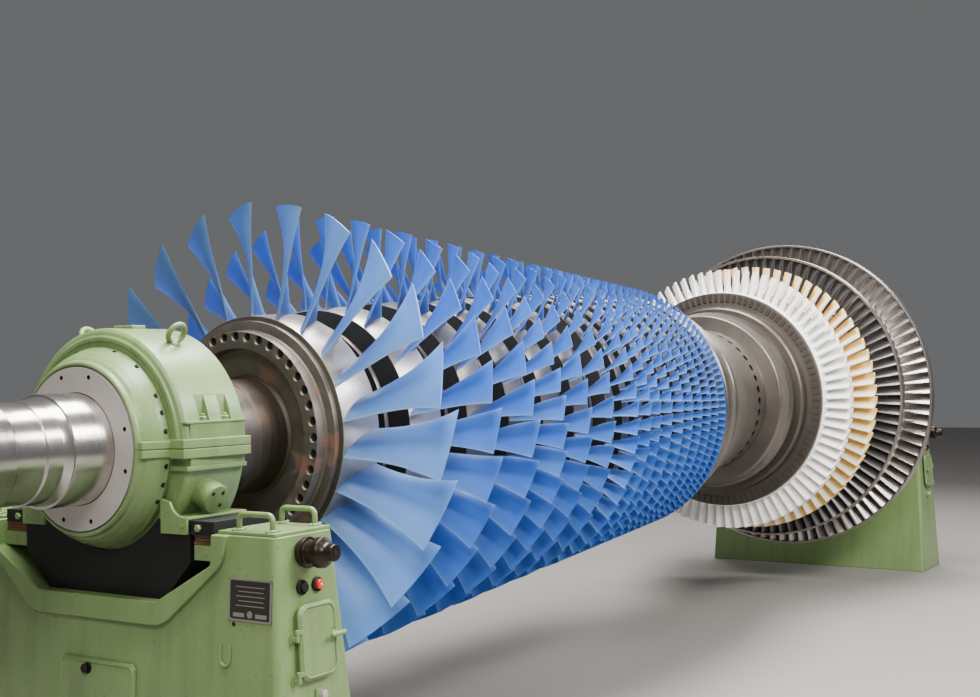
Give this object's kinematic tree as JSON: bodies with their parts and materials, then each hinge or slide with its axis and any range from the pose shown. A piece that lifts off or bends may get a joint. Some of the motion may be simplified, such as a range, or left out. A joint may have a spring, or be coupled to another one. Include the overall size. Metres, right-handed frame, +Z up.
{
  "type": "gas turbine rotor on bearing pedestals",
  "caption": "Bladed gas turbine rotor with compressor rows, torque tube and turbine rows, lying in two green bearing pedestals with split housings.",
  "frame": {"origin": "on the floor under the middle of the rotor's length", "axes": "+X along the rotor from the compressor inlet to the exhaust end, +Z up, -Y the operator's side with the doors"},
  "size_m": [10.26, 2.7, 3],
  "materials": {
    "green_enamel": "grey-green gloss enamel, thick over castings",
    "blue_blade_paint": "satin light blue coating on the compressor blades",
    "polished_steel": "ground and polished journal steel",
    "machined_steel": "turned steel with a little rust",
    "tube_steel": "fine turned steel",
    "white_coating": "matt white ceramic coating",
    "gold_coating": "matt cream to gold coating",
    "dark_blade_steel": "dark bluish blade alloy",
    "bright_blade_steel": "bright blade alloy",
    "black_paint": "black satin paint and black oxide",
    "red_plastic": "glossy red push button",
    "dark_name_plate": "bare dark grey plate"
  },
  "bodies": {
    "pedestals": {"near_left_tower": "green_enamel", "near_right_tower": "green_enamel", "near_sill": "green_enamel", "near_left_top_plate": "green_enamel", "near_right_top_plate": "green_enamel", "near_cradle": "black_paint", "near_hatch_cover": "green_enamel", "near_name_plate": "dark_name_plate", "near_bearing_lower": "green_enamel", "near_bearing_cap": "green_enamel", "near_seal_plate": "machined_steel", "far_left_tower": "green_enamel", "far_right_tower": "green_enamel", "far_sill": "green_enamel", "far_left_top_plate": "green_enamel", "far_right_top_plate": "green_enamel", "far_cradle": "black_paint", "far_hatch_cover": "green_enamel", "far_name_plate": "dark_name_plate", "far_bearing_lower": "green_enamel", "far_bearing_cap": "green_enamel", "far_seal_plate": "machined_steel"},
    "rotor": {"front_stub_shaft": "polished_steel", "front_flange": "machined_steel", "compressor_row_01": "blue_blade_paint", "compressor_row_02": "blue_blade_paint", "compressor_row_03": "blue_blade_paint", "compressor_row_04": "blue_blade_paint", "compressor_row_05": "blue_blade_paint", "compressor_row_06": "blue_blade_paint", "compressor_row_07": "blue_blade_paint", "compressor_row_08": "blue_blade_paint", "compressor_row_09": "blue_blade_paint", "compressor_row_10": "blue_blade_paint", "compressor_row_11": "blue_blade_paint", "compressor_row_12": "blue_blade_paint", "compressor_row_13": "blue_blade_paint", "compressor_row_14": "blue_blade_paint", "compressor_row_15": "blue_blade_paint", "compressor_row_16": "blue_blade_paint", "torque_tube": "tube_steel", "turbine_row_1": "white_coating", "turbine_row_2": "gold_coating", "turbine_row_3": "dark_blade_steel", "turbine_row_4": "bright_blade_steel", "rear_stub_shaft": "polished_steel"},
    "near_side_door": {"near_side_door": "green_enamel"},
    "near_jack_spindle": {"near_jack_spindle": "black_paint"},
    "near_black_button": {"near_black_button": "black_paint"},
    "near_red_button": {"near_red_button": "red_plastic"},
    "far_side_door": {"far_side_door": "green_enamel"},
    "far_jack_spindle": {"far_jack_spindle": "black_paint"},
    "far_black_button": {"far_black_button": "black_paint"},
    "far_red_button": {"far_red_button": "red_plastic"}
  },
  "joints": [
    {"name": "rotor_spin", "type": "hinge", "parent": "pedestals", "child": "rotor", "pos_m": [0, 0, 1.65], "axis": [1, 0, 0], "continuous": true},
    {"name": "near_door_swing", "type": "hinge", "parent": "pedestals", "child": "near_side_door", "pos_m": [-4.146, -1.02811, 0.78125], "axis": [0, -0.0447, -0.999], "range_deg": [0, 110]},
    {"name": "near_spindle_turn", "type": "hinge", "parent": "pedestals", "child": "near_jack_spindle", "pos_m": [-4.055, -1.03916, 1.25068], "axis": [0, -0.999, 0.0447], "range_deg": [-180, 180]},
    {"name": "near_black_button_press", "type": "slide", "parent": "pedestals", "child": "near_black_button", "axis": [0, 0.999, -0.0447], "range_m": [0, 0.005], "stiffness_N_per_m": 600},
    {"name": "near_red_button_press", "type": "slide", "parent": "pedestals", "child": "near_red_button", "axis": [0, 0.999, -0.0447], "range_m": [0, 0.005], "stiffness_N_per_m": 600},
    {"name": "far_door_swing", "type": "hinge", "parent": "pedestals", "child": "far_side_door", "pos_m": [4.76, -1.02811, 0.78125], "axis": [0, 0.0447, 0.999], "range_deg": [0, 110]},
    {"name": "far_spindle_turn", "type": "hinge", "parent": "pedestals", "child": "far_jack_spindle", "pos_m": [4.669, -1.03916, 1.25068], "axis": [0, -0.999, 0.0447], "range_deg": [-180, 180]},
    {"name": "far_black_button_press", "type": "slide", "parent": "pedestals", "child": "far_black_button", "axis": [0, 0.999, -0.0447], "range_m": [0, 0.005], "stiffness_N_per_m": 600},
    {"name": "far_red_button_press", "type": "slide", "parent": "pedestals", "child": "far_red_button", "axis": [0, 0.999, -0.0447], "range_m": [0, 0.005], "stiffness_N_per_m": 600}
  ]
}
